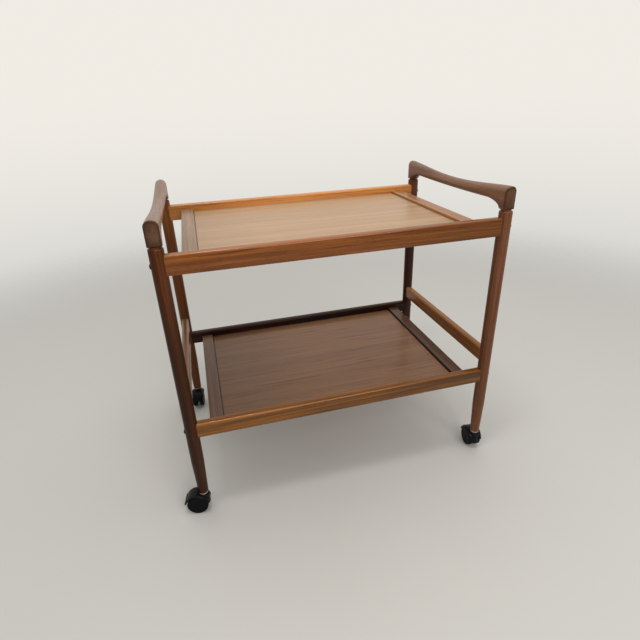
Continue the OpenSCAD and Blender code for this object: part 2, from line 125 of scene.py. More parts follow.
def build_piece(name, grids, finish, body, nodes):
    """Makes one piece from closed grids of points, each rows x columns x 3 or x 4. The columns go
    round and join up, every cell is a quad, and a row drawn together in one point closes an end.
    A fourth value, where a grid has it, is 1 on an arris painted pale as a painted highlight and
    -1 on end grain, which is darker. Faces that meet at more than the crisp angle keep a sharp edge."""
    points, quads, arris_sheen_end_grain, offset = [], [], [], 0
    for grid in grids:
        rows, columns = grid.shape[:2]
        index = offset + np.arange(rows * columns).reshape(rows, columns)
        beside = np.roll(index, -1, axis=1)
        quads.append(np.stack([index[:-1], beside[:-1], beside[1:], index[1:]], axis=-1).reshape(-1, 4))
        points.append(grid[..., :3].reshape(-1, 3))
        sheen_grain_values = grid[..., 3] if grid.shape[2] > 3 else np.zeros((rows, columns))
        arris_sheen_end_grain.append(sheen_grain_values.ravel())
        offset += rows * columns
    mesh = bpy.data.meshes.new(name)
    mesh.from_pydata(np.concatenate(points).tolist(), [], np.concatenate(quads).tolist())
    attribute = mesh.attributes.new("arris_sheen_end_grain", "FLOAT", "POINT")
    attribute.data.foreach_set("value", np.concatenate(arris_sheen_end_grain).astype(np.float32))
    work = bmesh.new()
    work.from_mesh(mesh)
    bmesh.ops.remove_doubles(work, verts=work.verts, dist=2e-6)
    bmesh.ops.recalc_face_normals(work, faces=work.faces)
    work.to_mesh(mesh)
    work.free()
    mesh.shade_smooth()
    mesh.set_sharp_from_angle(angle=CRISP_ANGLE)
    piece = bpy.data.objects.new(name, mesh)
    bpy.context.scene.collection.objects.link(piece)
    mesh.materials.append(finish)
    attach(piece, body)
    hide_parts(*nodes)
    return piece


def new_group(name, inputs, outputs):
    """An empty shader group with named sockets, each given as (name, kind, value)."""
    group = bpy.data.node_groups.new(name, "ShaderNodeTree")
    for title, kind, value in inputs:
        socket = group.interface.new_socket(title, in_out="INPUT", socket_type=kind)
        if value is not None:
            socket.default_value = value
    for title, kind in outputs:
        group.interface.new_socket(title, in_out="OUTPUT", socket_type=kind)
    return group, group.nodes.new("NodeGroupInput"), group.nodes.new("NodeGroupOutput")


def joiner(tree):
    """Short forms for wiring one node tree: add a node with settings, and link two sockets."""

    def add(kind, values=None, **settings):
        node = tree.nodes.new(kind)
        for key, value in settings.items():
            setattr(node, key, value)
        for key, value in (values or {}).items():
            if isinstance(value, bpy.types.NodeSocket):
                tree.links.new(value, node.inputs[key])
            else:
                node.inputs[key].default_value = value
        return node

    def link(output, target):
        tree.links.new(output, target)

    return add, link


def wood_figure():
    """The grain of straight-sawn wood that runs along the vector's X: broad light and dark
    bands, fine streaks, short dark pores and a few long dark veins. Each is a noise stretched
    along the grain, given by its waves per metre along the grain and across it."""
    group, given, result = new_group(
        "wood figure",
        [
            ("Vector", "NodeSocketVector", None),
            ("Dark", "NodeSocketColor", (0.05, 0.02, 0.01, 1)),
            ("Middle", "NodeSocketColor", (0.2, 0.08, 0.03, 1)),
            ("Light", "NodeSocketColor", (0.4, 0.2, 0.08, 1)),
            ("Band Width", "NodeSocketFloat", 1.0),
            ("Streaks", "NodeSocketFloat", 0.5),
            ("Pores", "NodeSocketFloat", 0.5),
            ("Veins", "NodeSocketFloat", 0.0),
        ],
        [("Color", "NodeSocketColor"), ("Mottle", "NodeSocketFloat"), ("Height", "NodeSocketFloat")],
    )
    add, link = joiner(group)
    vector = given.outputs["Vector"]

    def stretched(along, across, detail, roughness, distortion=0.0):
        scaled = add("ShaderNodeVectorMath", {0: vector, 1: (along, across, across)}, operation="MULTIPLY")
        noise = add(
            "ShaderNodeTexNoise",
            {"Vector": scaled.outputs[0], "Scale": 1.0, "Detail": detail, "Roughness": roughness,
             "Distortion": distortion},
        )
        return noise.outputs["Fac"]

    def spread(value, low, high):
        ramp = add("ShaderNodeMapRange", {"Value": value, "From Min": low, "From Max": high},
                   interpolation_type="SMOOTHSTEP")
        return ramp.outputs["Result"]

    def times(a, b):
        return add("ShaderNodeMath", {0: a, 1: b}, operation="MULTIPLY").outputs[0]

    def mix(share, a, b):
        node = add("ShaderNodeMix", data_type="RGBA")
        for key, value in ((0, share), (6, a), (7, b)):
            if isinstance(value, bpy.types.NodeSocket):
                link(value, node.inputs[key])
            else:
                node.inputs[key].default_value = value
        return node.outputs[2]

    widened = add("ShaderNodeVectorMath", {0: vector, 1: given.outputs["Band Width"]}, operation="DIVIDE")
    bands = add("ShaderNodeVectorMath", {0: widened.outputs[0], 1: (1.6, 58.0, 58.0)}, operation="MULTIPLY")
    band_noise = add(
        "ShaderNodeTexNoise",
        {"Vector": bands.outputs[0], "Scale": 1.0, "Detail": 3.0, "Roughness": 0.5, "Distortion": 0.25},
    )
    broad = spread(band_noise.outputs["Fac"], 0.34, 0.66)
    streak = spread(stretched(5.0, 330.0, 4.0, 0.62), 0.42, 0.72)
    hair = spread(stretched(14.0, 1250.0, 2.0, 0.5), 0.38, 0.7)
    pore = spread(stretched(85.0, 2100.0, 1.0, 0.4), 0.60, 0.72)
    vein = spread(stretched(5.0, 120.0, 2.5, 0.55, distortion=0.4), 0.60, 0.72)
    tone = mix(broad, given.outputs["Middle"], given.outputs["Light"])
    tone = mix(times(streak, given.outputs["Streaks"]), tone, given.outputs["Dark"])
    tone = mix(times(hair, times(given.outputs["Streaks"], 0.45)), tone, given.outputs["Dark"])
    tone = mix(times(pore, given.outputs["Pores"]), tone, given.outputs["Dark"])
    tone = mix(times(vein, given.outputs["Veins"]), tone, given.outputs["Dark"])
    link(tone, result.inputs["Color"])
    mottle = add("ShaderNodeMath", {0: broad, 1: hair}, operation="ADD")
    link(times(mottle.outputs[0], 0.5), result.inputs["Mottle"])
    relief = add("ShaderNodeMath", {0: pore, 1: -0.8, 2: times(hair, -0.35)}, operation="MULTIPLY_ADD")
    link(relief.outputs[0], result.inputs["Height"])
    return group


FIGURE = wood_figure()

ALONG = {"X": (0, 0, 0), "Y": (0, 0, -math.pi / 2), "Z": (0, math.pi / 2, 0)}
SIDE_SHIFT = 0.37
# How far an arris is painted pale as a painted highlight, how far end grain is darkened, and how much paler
# than the light tone the painted highlight is.
ARRIS_HIGHLIGHT_SHARE = 0.55
END_GRAIN_SHARE = -0.75
HIGHLIGHT_PALER = 1.3


def wood(name, run, dark, middle_tone, light, band_width=1.0, streaks=0.5, pores=0.5, veins=0.15,
         gloss=0.34, varnish=0.3, specular=0.2, shift=0.0, shades=()):
    """A lacquered wood whose grain runs along X, Y or Z. Varnish is the coat's weight and gloss the
    roughness of the wood below it. An arris is painted paler as a painted highlight, and end grain
    is darker. Each of the shades is an axis, two places along it and how bright the wood is at each
    of them: painted light and shade along that axis."""
    material = bpy.data.materials.new(name)
    material.use_nodes = True
    tree = material.node_tree
    add, link = joiner(tree)
    shader = tree.nodes["Principled BSDF"]
    place = add("ShaderNodeTexCoord")
    turned_place = add("ShaderNodeMapping", {"Vector": place.outputs["Object"], "Rotation": ALONG[run],
                                             "Location": (shift, shift * SIDE_SHIFT, 0)})
    figure = add("ShaderNodeGroup", node_tree=FIGURE)
    link(turned_place.outputs[0], figure.inputs["Vector"])
    for key, value in (("Dark", (*dark, 1)), ("Middle", (*middle_tone, 1)), ("Light", (*light, 1)),
                       ("Band Width", band_width), ("Streaks", streaks), ("Pores", pores), ("Veins", veins)):
        figure.inputs[key].default_value = value
    arris_sheen_end_grain = add("ShaderNodeAttribute", attribute_name="arris_sheen_end_grain")
    tone = figure.outputs["Color"]
    along = add("ShaderNodeSeparateXYZ", {0: place.outputs["Object"]})
    # Each shade scales the colour along one axis: painted light and shade.
    for axis, start, stop, first, last in shades:
        painted_light_ramp = add("ShaderNodeMapRange",
                   {"Value": along.outputs[axis], "From Min": start, "From Max": stop,
                    "To Min": first, "To Max": last}, interpolation_type="SMOOTHSTEP")
        shaded = add("ShaderNodeVectorMath", {0: tone, "Scale": painted_light_ramp.outputs["Result"]}, operation="SCALE")
        tone = shaded.outputs[0]
    # An arris is painted paler as a painted highlight; end grain is darkened.
    highlight_tone = [min(1.0, HIGHLIGHT_PALER * c) for c in light]
    for share, colour in ((ARRIS_HIGHLIGHT_SHARE, highlight_tone), (END_GRAIN_SHARE, dark)):
        amount = add("ShaderNodeMath", {0: arris_sheen_end_grain.outputs["Fac"], 1: share}, operation="MULTIPLY",
                     use_clamp=True)
        blend = add("ShaderNodeMix", data_type="RGBA")
        link(amount.outputs[0], blend.inputs[0])
        link(tone, blend.inputs[6])
        blend.inputs[7].default_value = (*colour, 1)
        tone = blend.outputs[2]
    link(tone, shader.inputs["Base Color"])
    rough = add("ShaderNodeMapRange", {"Value": figure.outputs["Mottle"], "To Min": gloss - 0.05,
                                       "To Max": gloss + 0.09})
    link(rough.outputs["Result"], shader.inputs["Roughness"])
    bump = add("ShaderNodeBump", {"Height": figure.outputs["Height"], "Strength": 0.35, "Distance": 0.00025})
    link(bump.outputs[0], shader.inputs["Normal"])
    shader.inputs["Coat Weight"].default_value = varnish
    shader.inputs["Coat Roughness"].default_value = 0.16
    shader.inputs["Specular IOR Level"].default_value = specular
    return material


# The dark, middle and light tone of each leg, the shift of its grain, and its shades. The tones hold
# painted light and shade: the front left and rear right legs are painted dark as shaded, the other
# two lighter as lit. The shades paint the legs darker towards the bottom, the tops of the front left
# and rear right legs lighter, and the front faces of those two darker than their backs.
leg_tones = {
    "front_left": ((0.010, 0.002, 0.001), (0.044, 0.012, 0.003), (0.080, 0.024, 0.006), 0.0,
                   (("Z", 0.40, 0.60, 0.8, 1.9), ("Y", -0.226, -0.206, 1.0, 2.2))),
    "front_right": ((0.042, 0.014, 0.007), (0.182, 0.067, 0.029), (0.275, 0.110, 0.050), 0.27,
                    (("Z", 0.2, 0.6, 0.9, 1.0),)),
    "rear_left": ((0.028, 0.008, 0.002), (0.135, 0.041, 0.009), (0.215, 0.072, 0.017), 0.52,
                  (("Z", 0.2, 0.6, 0.9, 1.1),)),
    "rear_right": ((0.012, 0.004, 0.002), (0.040, 0.014, 0.008), (0.070, 0.026, 0.014), 0.81,
                   (("Z", 0.56, 0.62, 0.9, 3.2), ("Y", 0.214, 0.230, 1.0, 3.0))),
}


def leg_outline(low, high, base):
    """A leg's outline from its foot to the top of its tenon, as (radius, height)."""
    shaft = (high.x - low.x) / 2
    step = LEG_FOOT_R - LEG_END_R
    shoulder = base - LEG_NECK_H
    corners = [
        (0, low.z), (LEG_END_R, low.z), (LEG_FOOT_R, low.z + 2 * step), (shaft, low.z + LEG_TAPER),
        (shaft, shoulder), (LEG_NECK_R, shoulder), (LEG_NECK_R, base), (LEG_TENON_R, base),
        (LEG_TENON_R, high.z), (0, high.z),
    ]
    radii = [0, 0.0004, 0.0008, 0.06, LEG_SHOULDER, 0.0004, 0, 0, 0.001, 0]
    return eased(corners, radii, steps=8)


handle_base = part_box("handle_left")[0].z
for corner in CORNERS:
    low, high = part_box("leg_" + corner)
    stand = ((low.x + high.x) / 2, (low.y + high.y) / 2, 0)
    *tones, shift, shades = leg_tones[corner]
    finish = wood("teak_leg_" + corner, "Z", *tones, streaks=0.55, pores=0.6, varnish=0.10, specular=0.12,
                  shift=shift, shades=shades)
    build_piece("turned_leg_" + corner, [turned(leg_outline(low, high, handle_base), stand, 96)],
                finish, "cart", ["leg_" + corner])


# ---------------------------------------------------------------- long rails
# Four long rails of teak, two to a shelf. Their top edges are well rounded, their bottom edges
# only eased, and their ends are hollowed to fit round the legs. The grain runs along them, warm
# orange brown with darker streaks.

RAIL_TOP_ROUND = 0.005
RAIL_BASE_ROUND = 0.002
COPE_STEPS = (0.0, 0.35, 0.7, 1.0)


def strip_section(half, low, high, top_round, base_round):
    """The outline of a strip with rounded edges, seen from its end, as (across, height, arris), where
    the arris share is how far the rounding is painted pale as a painted highlight.
    The height of the top at a place is its edge height less r - sqrt(r^2 - d^2), where d is how
    far the place is past the start of the rounding, and the base is the same turned over."""
    places = []
    for radius in (top_round, base_round):
        turn = np.radians(np.arange(0, 91, 11.25))
        places.append(half - radius + radius * np.sin(turn))
    outer = np.unique(np.round(np.concatenate(places), 7))
    inner = np.linspace(-outer[0], outer[0], 7)[1:-1]
    across = np.concatenate([-outer[::-1], inner, outer])

    def drop_and_arris(radius):
        past = np.clip(np.abs(across) - (half - radius), 0, radius)
        return radius - np.sqrt(radius**2 - past**2), np.sin(np.pi * past / radius) ** 2

    top_drop, top_arris = drop_and_arris(top_round)
    base_drop, base_arris = drop_and_arris(base_round)
    upper = np.stack([across, high - top_drop, top_arris], axis=-1)
    lower = np.stack([across, low + base_drop, base_arris], axis=-1)[::-1]
    return np.concatenate([upper, lower])


def coped_strip(section, centre_across, ends, leg_across, leg_radius, runs="X"):
    """A strip between two round legs: the section is carried along from end to end. Each end
    stops on the leg's surface, sqrt(r^2 - d^2) short of its axis, where d is the distance across
    from the axis, and is closed by the same section drawn together towards its middle."""
    shares = np.array(COPE_STEPS)
    heart = section[:, :2].mean(axis=0)
    rows = []

    def ring(scale, along):
        flat = heart + (section[:, :2] - heart) * scale
        off = centre_across + flat[:, 0] - leg_across
        reach = np.sqrt(np.maximum(leg_radius**2 - off**2, 0)) if leg_radius else np.zeros(len(flat))
        start, stop = ends[0] + reach, ends[1] - reach
        place = start + (stop - start) * along
        across = centre_across + flat[:, 0]
        pair = (place, across) if runs == "X" else (across, place)
        return np.stack([*pair, flat[:, 1], section[:, 2]], axis=-1)

    rows += [ring(scale, 0.0) for scale in shares]
    rows.append(ring(1.0, 0.5))
    rows += [ring(scale, 1.0) for scale in shares[::-1]]
    return np.stack(rows)


# The dark, middle and light tone of each rail, the shift of its grain, and its shades. The upper
# rear rail's bright tones are painted light on its inner face, and the lower rear rail's near-black
# tones painted shade on its inner face; the Y shades bring their outer faces back towards a middle
# brown. The front rails darken towards their right ends, the upper rear rail towards its left end.
rail_tones = {
    "upper_rail_front": ((0.035, 0.008, 0.002), (0.215, 0.060, 0.008), (0.38, 0.120, 0.018), 0.0,
                         (("X", -0.1, 0.3, 1.0, 0.65),)),
    "upper_rail_rear": ((0.180, 0.050, 0.010), (0.55, 0.210, 0.044), (0.68, 0.290, 0.075), 0.43,
                        (("X", -0.33, -0.1, 0.72, 1.1), ("Y", 0.222, 0.228, 1.0, 0.5))),
    "lower_rail_front": ((0.024, 0.007, 0.001), (0.155, 0.051, 0.005), (0.33, 0.120, 0.014), 0.31,
                         (("X", -0.05, 0.3, 1.0, 0.62),)),
    "lower_rail_rear": ((0.003, 0.001, 0.001), (0.012, 0.003, 0.001), (0.045, 0.010, 0.002), 0.77,
                        (("Y", 0.222, 0.228, 1.0, 8.0),)),
}

DULL_VARNISH = 0.15
FULL_VARNISH = 0.6

leg_low, leg_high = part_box("leg_front_left")
leg_radius = (leg_high.x - leg_low.x) / 2
leg_x = middle("leg_front_right").x
leg_y = middle("leg_rear_left").y
for level in ("upper", "lower"):
    for side, sign in (("front", -1), ("rear", 1)):
        node = f"{level}_rail_{side}"
        *tones, shift, shades = rail_tones[node]
        varnish = DULL_VARNISH if node == "lower_rail_rear" else FULL_VARNISH
        finish = wood(f"teak_{node}", "X", *tones, band_width=0.6, streaks=0.5, pores=0.5, veins=0.55,
                      varnish=varnish, specular=0.1, shift=shift, shades=shades)
        low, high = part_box(node)
        section = strip_section((high.y - low.y) / 2, low.z, high.z, RAIL_TOP_ROUND, RAIL_BASE_ROUND)
        grid = coped_strip(section, (low.y + high.y) / 2, (-leg_x, leg_x), sign * leg_y, leg_radius)
        build_piece(f"long_rail_{level}_{side}", [grid], finish, "cart", [node])


# ---------------------------------------------------------------- side stretchers
# A teak stretcher joins the two legs of each end, a little above the lower shelf. It is doweled
# to the legs, rounded along its top edges, and its grain runs across the cart.

SIDES = ("left", "right")
STRETCHER_TOP_ROUND = 0.006

# The two stretchers are one wood: the left one's darker tones are painted shade and the right one's lighter
# tones painted light.
stretcher_tones = {
    "left": ((0.045, 0.018, 0.007), (0.155, 0.068, 0.025), (0.25, 0.115, 0.045)),
    "right": ((0.070, 0.021, 0.003), (0.285, 0.098, 0.013), (0.43, 0.165, 0.028)),
}
for side in SIDES:
    node = "side_stretcher_" + side
    low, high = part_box(node)
    section = strip_section((high.x - low.x) / 2, low.z, high.z, STRETCHER_TOP_ROUND, RAIL_BASE_ROUND)
    across = (low.x + high.x) / 2
    grid = coped_strip(section, across, (-leg_y, leg_y), across, leg_radius, runs="Y")
    finish = wood("teak_" + node, "Y", *stretcher_tones[side], streaks=0.55, pores=0.5)
    build_piece("stretcher_" + side, [grid], finish, "cart", [node])


# ---------------------------------------------------------------- end battens
# Four teak battens close the ends of the shelves. Each stands a few millimetres above its panel,
# is tenoned into the rails, and holds the panel's end in a groove. Their tops are matt, with the
# grain across the cart.

BATTEN_ROUND = 0.002
SHADOW_LINE = 0.0012


def painted_shadow_line(material, clean, shade_full):
    """Paints shade into a finish: darkens it towards a dark brown, as painted shade, from the first
    distance given to the second, both measured along X from the cart's middle."""
    tree = material.node_tree
    add, link = joiner(tree)
    shader = tree.nodes["Principled BSDF"]
    place = add("ShaderNodeSeparateXYZ", {0: add("ShaderNodeTexCoord").outputs["Object"]})
    away = add("ShaderNodeMath", {0: place.outputs["X"]}, operation="ABSOLUTE")
    line = add("ShaderNodeMapRange", {"Value": away.outputs[0], "From Min": clean, "From Max": shade_full,
                                      "To Max": 0.9}, interpolation_type="SMOOTHSTEP")
    darker = add("ShaderNodeMix", data_type="RGBA")
    link(line.outputs["Result"], darker.inputs[0])
    link(shader.inputs["Base Color"].links[0].from_socket, darker.inputs[6])
    # The dark brown of the painted shade.
    darker.inputs[7].default_value = (0.018, 0.008, 0.004, 1)
    link(darker.outputs[2], shader.inputs["Base Color"])
    return material


inner_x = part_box("upper_batten_right")[0].x
# The upper left batten's greyish tones are a painted reflection.
batten_tones = {
    "upper_batten_left": ((0.075, 0.036, 0.018), (0.255, 0.147, 0.078), (0.370, 0.230, 0.135), 0.0),
    "upper_batten_right": ((0.105, 0.038, 0.012), (0.370, 0.155, 0.054), (0.500, 0.235, 0.095), 0.37),
    "lower_batten_left": ((0.040, 0.019, 0.011), (0.130, 0.064, 0.036), (0.195, 0.102, 0.060), 0.2),
    "lower_batten_right": ((0.034, 0.013, 0.007), (0.108, 0.046, 0.022), (0.165, 0.074, 0.038), 0.55),
}
rail_inner_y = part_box("upper_rail_rear")[0].y
for level in ("upper", "lower"):
    for side in SIDES:
        node = f"{level}_batten_{side}"
        *tones, shift = batten_tones[node]
        finish = wood(f"teak_{node}", "Y", *tones, streaks=0.45, pores=0.45, gloss=0.38, shift=shift)
        # The inner face of each lower batten is painted dark as shade.
        if level == "lower":
            painted_shadow_line(finish, inner_x + SHADOW_LINE * 3 / 2, inner_x + SHADOW_LINE / 3)
        low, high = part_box(node)
        section = strip_section((high.x - low.x) / 2, low.z, high.z, BATTEN_ROUND, BATTEN_ROUND / 2)
        across = (low.x + high.x) / 2
        grid = coped_strip(section, across, (-rail_inner_y, rail_inner_y), across, 0, runs="Y")
        build_piece(f"end_batten_{level}_{side}", [grid], finish, "cart", [node])


# ---------------------------------------------------------------- shelf panels
# Two thin veneered panels lie in the grooves of rails and battens. The upper one is pale tan
# with a fine straight grain along the cart, the lower one is darker with dark streaks. Both are
# plain flat plates, so the frame's own nodes are kept and get the veneer's finish.

# Both veneers are darker towards their left ends; on the lower panel the brighter middle and right are a
# painted reflection.
upper_veneer = wood("upper_veneer", "X", (0.24, 0.125, 0.062), (0.475, 0.295, 0.166), (0.555, 0.370, 0.220),
                    band_width=1.3, streaks=0.30, pores=0.25, veins=0.12, gloss=0.36, varnish=0.2,
                    shades=(("X", -0.3, -0.1, 0.87, 1.0),))
lower_veneer = wood("lower_veneer", "X", (0.050, 0.021, 0.010), (0.255, 0.132, 0.068), (0.31, 0.167, 0.090),
                    band_width=2.2, streaks=0.30, pores=0.35, veins=0.5, gloss=0.36, varnish=0.2, shift=0.6,
                    shades=(("X", -0.28, 0.0, 0.76, 1.12),))
# A thin painted shadow line runs along the foot of each batten on both panels.
for veneer in (upper_veneer, lower_veneer):
    painted_shadow_line(veneer, inner_x - 2 * SHADOW_LINE, inner_x - SHADOW_LINE)


def refinish(node, finish):
    """Gives a frame node that is kept as it is a finish of its own."""
    holder = frame["nodes"][node]
    for place in holder.material_slots:
        place.material = finish


refinish("upper_panel", upper_veneer)
refinish("lower_panel", lower_veneer)


# ---------------------------------------------------------------- handles
# A carved teak grab handle caps the two legs of each end. Its top is a saddle, half round
# across; its underside sweeps up from the posts into the bar, and its outer ends bulge a little
# and have small rounded arrises. The grain runs along the handle.

POST_INNER_STEP = 0.002
SWEEP = 0.052
DIP = 0.013
BAR_H = 0.0225
BAR_W = 0.025
END_ROUND = 0.0025
END_BULGE = 0.0035
DIP_POWER = 1.2
SWEEP_POWER = 1.7
ARRIS_R = 0.0015
BAR_CORNER_R = 0.0090
CORNER_TAPER = 0.0025
GRAIN_END = -0.75
POST_SHADE_H = 0.022


def carved_handle(centre_x, base, rise, width, leg_at, end_at, around=72):
    """A handle as rings across it. With t = |y| over the leg's distance, the top is
    base + rise - dip cos(t 90)^1.2; the underside is base plus the bar's lift times
    (1 - s^1.7)^(1/1.7), where s goes from 0 to 1 along the sweep; near the ends all of them are
    drawn in by r - sqrt(r^2 - d^2). A ring is half an ellipse over two rounded lower corners,
    and past the leg's axis it curves back by bulge (x / half width)^2."""
    post_inner = 2 * leg_at - end_at + POST_INNER_STEP
    bar = np.linspace(0, post_inner - SWEEP, 26)
    sweep = post_inner - SWEEP * (1 - np.linspace(0.03, 1, 34)) ** 1.6
    post = np.linspace(post_inner, end_at - END_ROUND, 12)[1:]
    end = end_at - END_ROUND * (1 - np.sin(np.radians(np.arange(10, 91, 10))))
    half_places = np.concatenate([bar, sweep, post, end])
    y = np.concatenate([-half_places[:0:-1], half_places])
    t = np.minimum(np.abs(y) / leg_at, 1)
    past = np.clip(np.abs(y) - end_at + END_ROUND, 0, END_ROUND)
    inset = END_ROUND - np.sqrt(np.maximum(END_ROUND**2 - past**2, 0))
    cosine = np.cos(np.pi / 2 * t)
    half = (width - (width - BAR_W) * cosine) / 2 - inset
    top = base + rise - DIP * cosine**DIP_POWER - inset
    s = np.clip(1 - (post_inner - np.abs(y)) / SWEEP, 0, 1)
    lift = rise - DIP - BAR_H + 0.3 * DIP * (1 - cosine)
    under = base + lift * (1 - s**SWEEP_POWER) ** (1 / SWEEP_POWER) + inset / 2
    crown = np.minimum(0.95 * half, 0.55 * (top - under))
    inside = np.clip((leg_at - np.abs(y)) / (leg_at - post_inner), 0, 1)
    corner = np.minimum(ARRIS_R + (BAR_CORNER_R - ARRIS_R - CORNER_TAPER * s) * inside**2, half)
    angle = np.linspace(0, 2 * np.pi, around, endpoint=False)
    c, sn = np.cos(angle), np.sin(angle)
    upper = sn >= -1e-9

    def column(values):
        return values[:, None]

    x = np.where(upper, column(half) * c,
                 np.where(c >= 0, 1, -1) * column(half - corner) + column(corner) * c)
    z = np.where(upper, column(top - crown) + column(crown) * sn,
                 column(under + corner) + column(corner) * sn)
    outside = np.clip((np.abs(y) - leg_at) / (end_at - leg_at), 0, 1)
    set_back = END_BULGE * column(np.sign(y) * outside) * (x / column(half)) ** 2
    worn = np.repeat(column(-1.2 * np.sin(np.pi / 2 * past / END_ROUND)), around, axis=1)
    rings = np.stack([centre_x + x, column(y) - set_back, z, worn], axis=-1)

    def closed(ring, way):
        """Smaller copies of an end's ring, on the same bulge, down to its middle."""
        heart = np.array([centre_x, 0, (ring[:, 2].min() + ring[:, 2].max()) / 2, 0])
        copies = []
        for scale in (0.75, 0.5, 0.25, 0.0):
            copy = heart + (ring - heart) * scale
            share = (copy[:, 0] - centre_x) / np.abs(ring[:, 0] - centre_x).max()
            copy[:, 1] = way * (end_at - END_BULGE * share**2)
            copy[:, 3] = GRAIN_END
            copies.append(copy)
        return copies

    return np.stack([*closed(rings[0], -1)[::-1], *rings, *closed(rings[-1], 1)])


# The left handle's paler, greyer tones are a painted sheen, and each post is painted darker towards its foot
# as painted shade.
handle_tones = {
    "left": ((0.050, 0.018, 0.004), (0.215, 0.103, 0.058), (0.320, 0.168, 0.098)),
    "right": ((0.045, 0.015, 0.003), (0.190, 0.083, 0.044), (0.290, 0.140, 0.077)),
}
for side in SIDES:
    node = "handle_" + side
    low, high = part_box(node)
    finish = wood("teak_" + node, "Y", *handle_tones[side], streaks=0.5, pores=0.5, gloss=0.36,
                  varnish=0.25, shades=(("Z", low.z, low.z + POST_SHADE_H, 0.7, 1.0),))
    grid = carved_handle((low.x + high.x) / 2, low.z, high.z - low.z, high.x - low.x, leg_y, high.y)
    build_piece("grab_" + node, [grid], finish, "cart", [node])


# ---------------------------------------------------------------- bolts, nuts and dowels
# Zinc-plated bolts run through the legs into barrel nuts in the rails, with a beech dowel under
# each, and two dowels hold each end of a stretcher. They lie inside the wood. What shows is a
# dark brown domed cap over each bolt's head.


def speckled(name, colour, roughness, spread, metallic=0.0, scale=900.0, relief=0.00003, specular=0.5):
    """A plain material with a fine noise in its tone, its gloss and its surface."""
    material = bpy.data.materials.new(name)
    material.use_nodes = True
    tree = material.node_tree
    add, link = joiner(tree)
    shader = tree.nodes["Principled BSDF"]
    place = add("ShaderNodeTexCoord")
    fine = add("ShaderNodeTexNoise", {"Vector": place.outputs["Object"], "Scale": scale, "Detail": 3.0})
    broad = add("ShaderNodeTexNoise", {"Vector": place.outputs["Object"], "Scale": scale / 14, "Detail": 4.0})
    tone = add("ShaderNodeMix", data_type="RGBA")
    link(broad.outputs["Fac"], tone.inputs[0])
    tone.inputs[6].default_value = (*[c * (1 - spread) for c in colour], 1)
    tone.inputs[7].default_value = (*[min(1.0, c * (1 + spread)) for c in colour], 1)
    link(tone.outputs[2], shader.inputs["Base Color"])
    rough = add("ShaderNodeMapRange", {"Value": broad.outputs["Fac"], "From Min": 0.3, "From Max": 0.7,
                                       "To Min": roughness * 0.85, "To Max": min(1.0, roughness * 1.2)})
    link(rough.outputs["Result"], shader.inputs["Roughness"])
    bump = add("ShaderNodeBump", {"Height": fine.outputs["Fac"], "Strength": 0.5, "Distance": relief})
    link(bump.outputs[0], shader.inputs["Normal"])
    shader.inputs["Metallic"].default_value = metallic
    shader.inputs["Specular IOR Level"].default_value = specular
    return material


zinc_steel = speckled("zinc_steel", (0.55, 0.55, 0.53), 0.32, 0.12, metallic=1.0, scale=1400.0)
beech = wood("beech_dowel", "X", (0.42, 0.28, 0.15), (0.60, 0.44, 0.26), (0.68, 0.52, 0.33), gloss=0.5,
             varnish=0.0)
cap_plastic = speckled("cap_plastic", (0.020, 0.009, 0.005), 0.36, 0.25, scale=1200.0, specular=0.25)
for node, finish, slot in (("rail_bolts", zinc_steel, "steel"), ("barrel_nuts", zinc_steel, "steel"),
                           ("grip_rings", zinc_steel, "steel"), ("rail_dowels", beech, "dowel_beech"),
                           ("stretcher_dowels", beech, "dowel_beech")):
    refinish(node, finish)

CAP_R = 0.00555
CAP_RISE = 0.0022
CAP_STEM = 0.0035

cap_outline = eased(
    [(0, -CAP_STEM), (CAP_R, -CAP_STEM), (CAP_R, CAP_RISE - 0.0020), (CAP_R * 0.62, CAP_RISE - 0.0003),
     (0, CAP_RISE)],
    [0, 0.0003, 0.0011, 0.004, 0], steps=7)
caps = []
for corner in CORNERS:
    at = middle("leg_" + corner)
    outwards = math.copysign(1, at.x)
    for level in ("upper", "lower"):
        height = middle(f"{level}_rail_front").z
        caps.append(turned(cap_outline, (at.x + outwards * leg_radius, at.y, height), 32, (outwards, 0, 0)))
build_piece("cap_set", caps, cap_plastic, "cart", ["bolt_caps"])


# ---------------------------------------------------------------- casters: sockets and stems
# A pale flanged sleeve is pressed into each foot and shows as a thin ring between leg and
# caster. The steel stem turns with its collar just below it.

SLEEVE_R = 0.0055
SLEEVE_BORE_R = 0.0044

pale_flange = speckled("pale_flange", (0.50, 0.44, 0.36), 0.5, 0.12, scale=1000.0)
for corner in CORNERS:
    low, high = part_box("socket_" + corner)
    rim = (high.x - low.x) / 2
    flange_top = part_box("leg_" + corner)[0].z
    flange = eased(
        [(SLEEVE_BORE_R, low.z), (rim, low.z), (rim, flange_top), (SLEEVE_R, flange_top),
         (SLEEVE_R, high.z), (SLEEVE_BORE_R, high.z), (SLEEVE_BORE_R, low.z)],
        [0, 0.0009, 0.0005, 0, 0, 0, 0])
    build_piece("foot_socket_" + corner, [turned(flange, (*middle("leg_" + corner).xy, 0), 48)],
                pale_flange, "cart", ["socket_" + corner])
    refinish("stem_" + corner, zinc_steel)
    refinish("axle_" + corner, zinc_steel)


# ---------------------------------------------------------------- casters: hoods
# Each caster's body is one moulding of black nylon with a satin skin: an arched hood over the
# two wheels with rounded shoulders and a thin flared brim, a middle plate that holds the axle,
# and the barrel that the stem turns in.

HOOD_GAP = 0.0018
HOOD_T = 0.0024
HOOD_HALF_W = 0.017
HOOD_SHOULDER = 0.004
HOOD_SKIN = 0.0006
HOOD_ARC = (12, 168)
BRIM_INSET = 0.0035
WEB_T = 0.009
WEB_R = 0.013
NECK_Z = (0.004, 0.025)
BARREL_R = 0.0125
BARREL_BEVEL = 0.004
FLANGE_GAP = 0.00145
FOOT_CLEAR = 0.01225
DISH_SLOPE = 1.5


